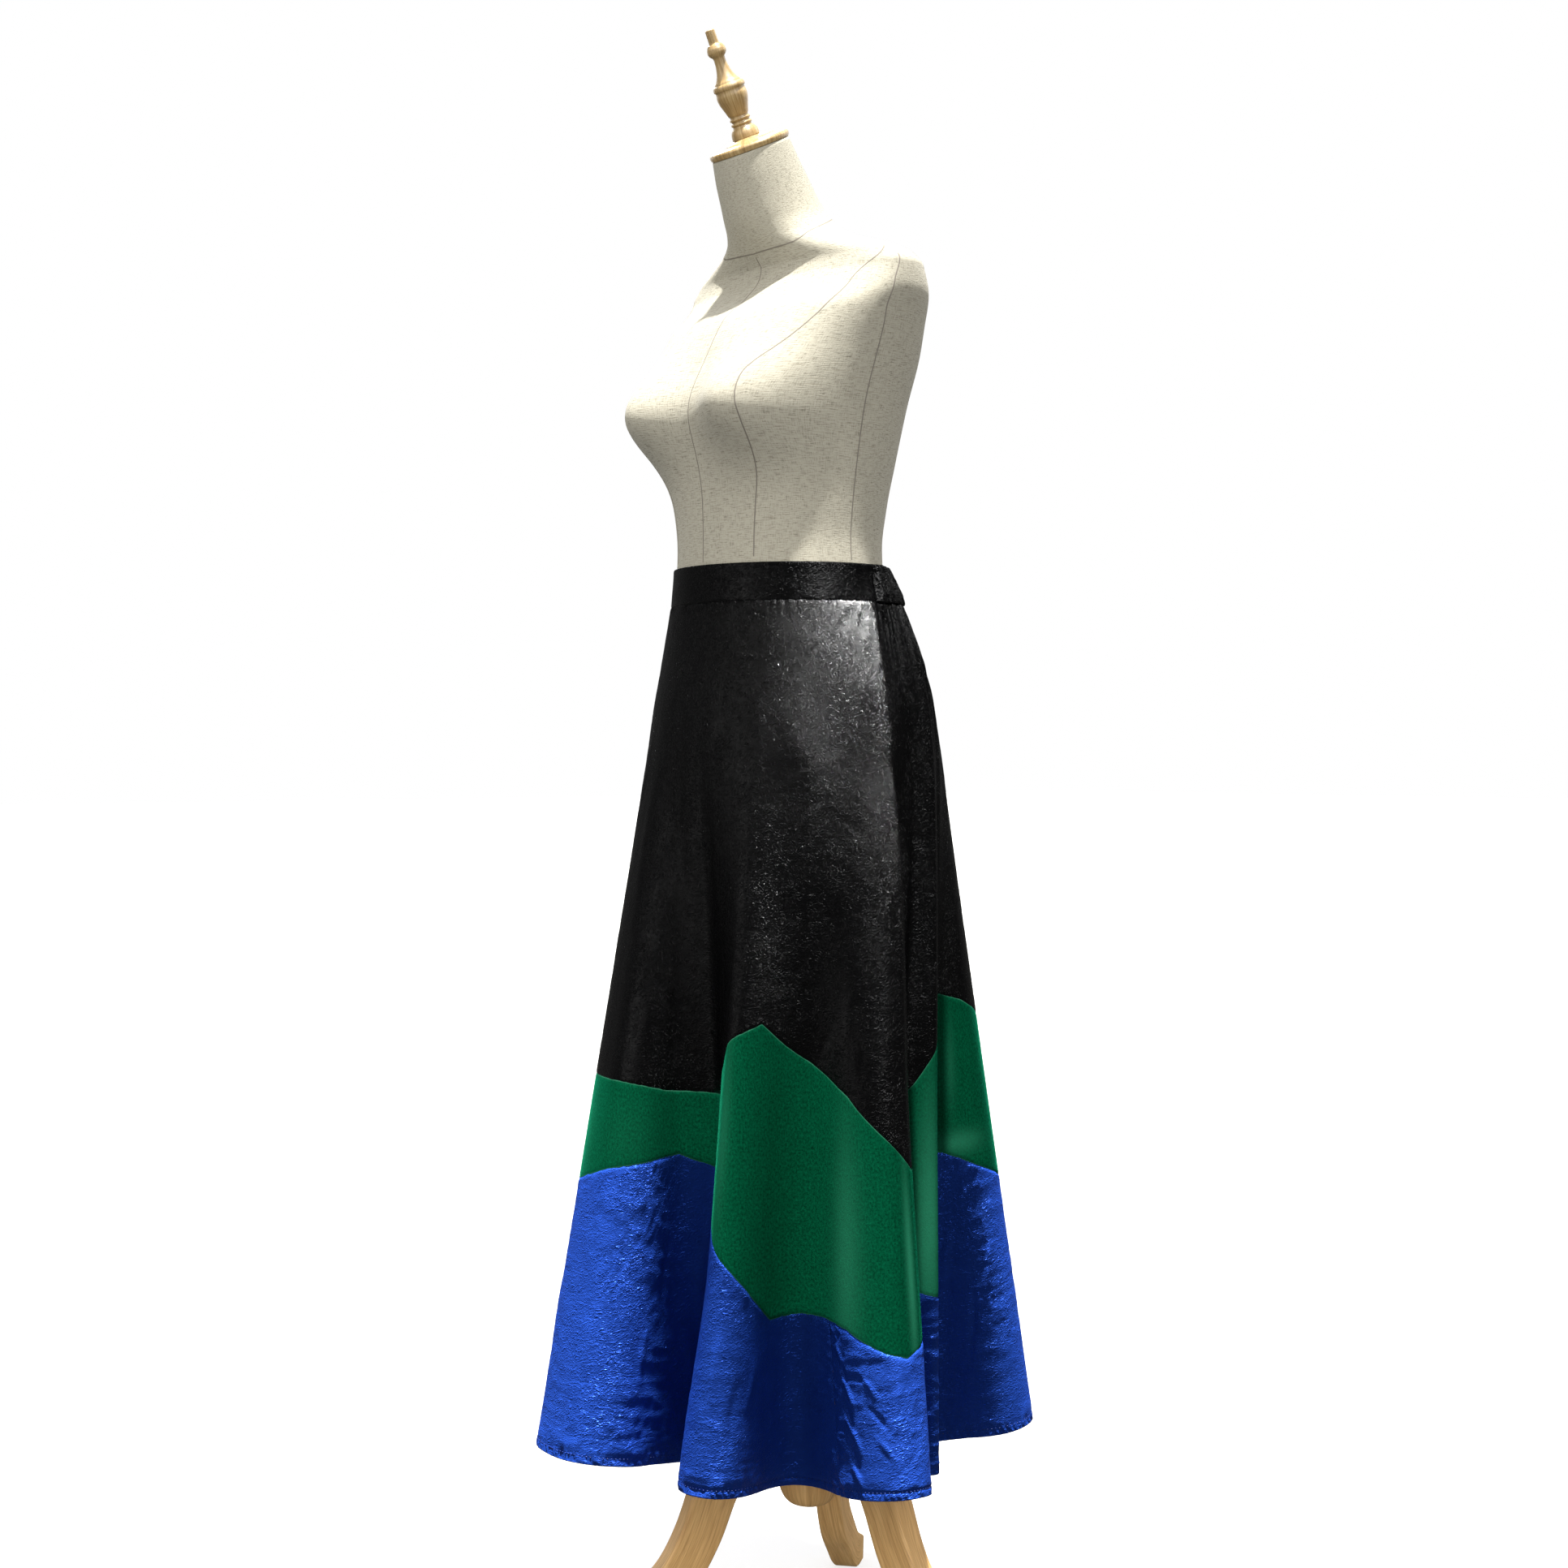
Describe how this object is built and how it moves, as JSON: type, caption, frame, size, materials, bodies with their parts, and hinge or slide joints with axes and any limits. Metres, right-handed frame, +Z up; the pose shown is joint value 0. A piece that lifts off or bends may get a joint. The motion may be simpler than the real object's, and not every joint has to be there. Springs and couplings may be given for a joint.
{
  "type": "flared skirt on a dress form",
  "caption": "Long flared skirt with a flat front band, an elastic gathered back and zigzag colour-blocked tiers, worn by a limbless dress form on a wooden tripod stand.",
  "frame": {"origin": "centre of the footprint, on the floor", "axes": "+Z up, -Y the front of the skirt, +X the wearer's left"},
  "size_m": [0.5326, 0.5256, 1.6646],
  "materials": {
    "black_satin": "black crinkled satin, soft sheen",
    "green_velvet": "deep green velvet, short nap",
    "blue_taffeta": "royal blue crinkled taffeta, soft sheen",
    "linen": "off-white linen cover, matt",
    "turned_wood": "golden varnished turned wood",
    "stand_wood": "light brown oiled wood"
  },
  "bodies": {
    "root": {"waistband_front": "black_satin", "waistband_back": "black_satin", "upper_front": "black_satin", "upper_back": "black_satin", "middle_front": "green_velvet", "middle_back": "green_velvet", "lower_front": "blue_taffeta", "lower_back": "blue_taffeta", "torso": "linen", "neck_cap": "turned_wood", "finial": "turned_wood", "pole": "stand_wood", "hub": "stand_wood", "leg_left": "stand_wood", "leg_right": "stand_wood", "leg_back": "stand_wood"}
  },
  "joints": []
}
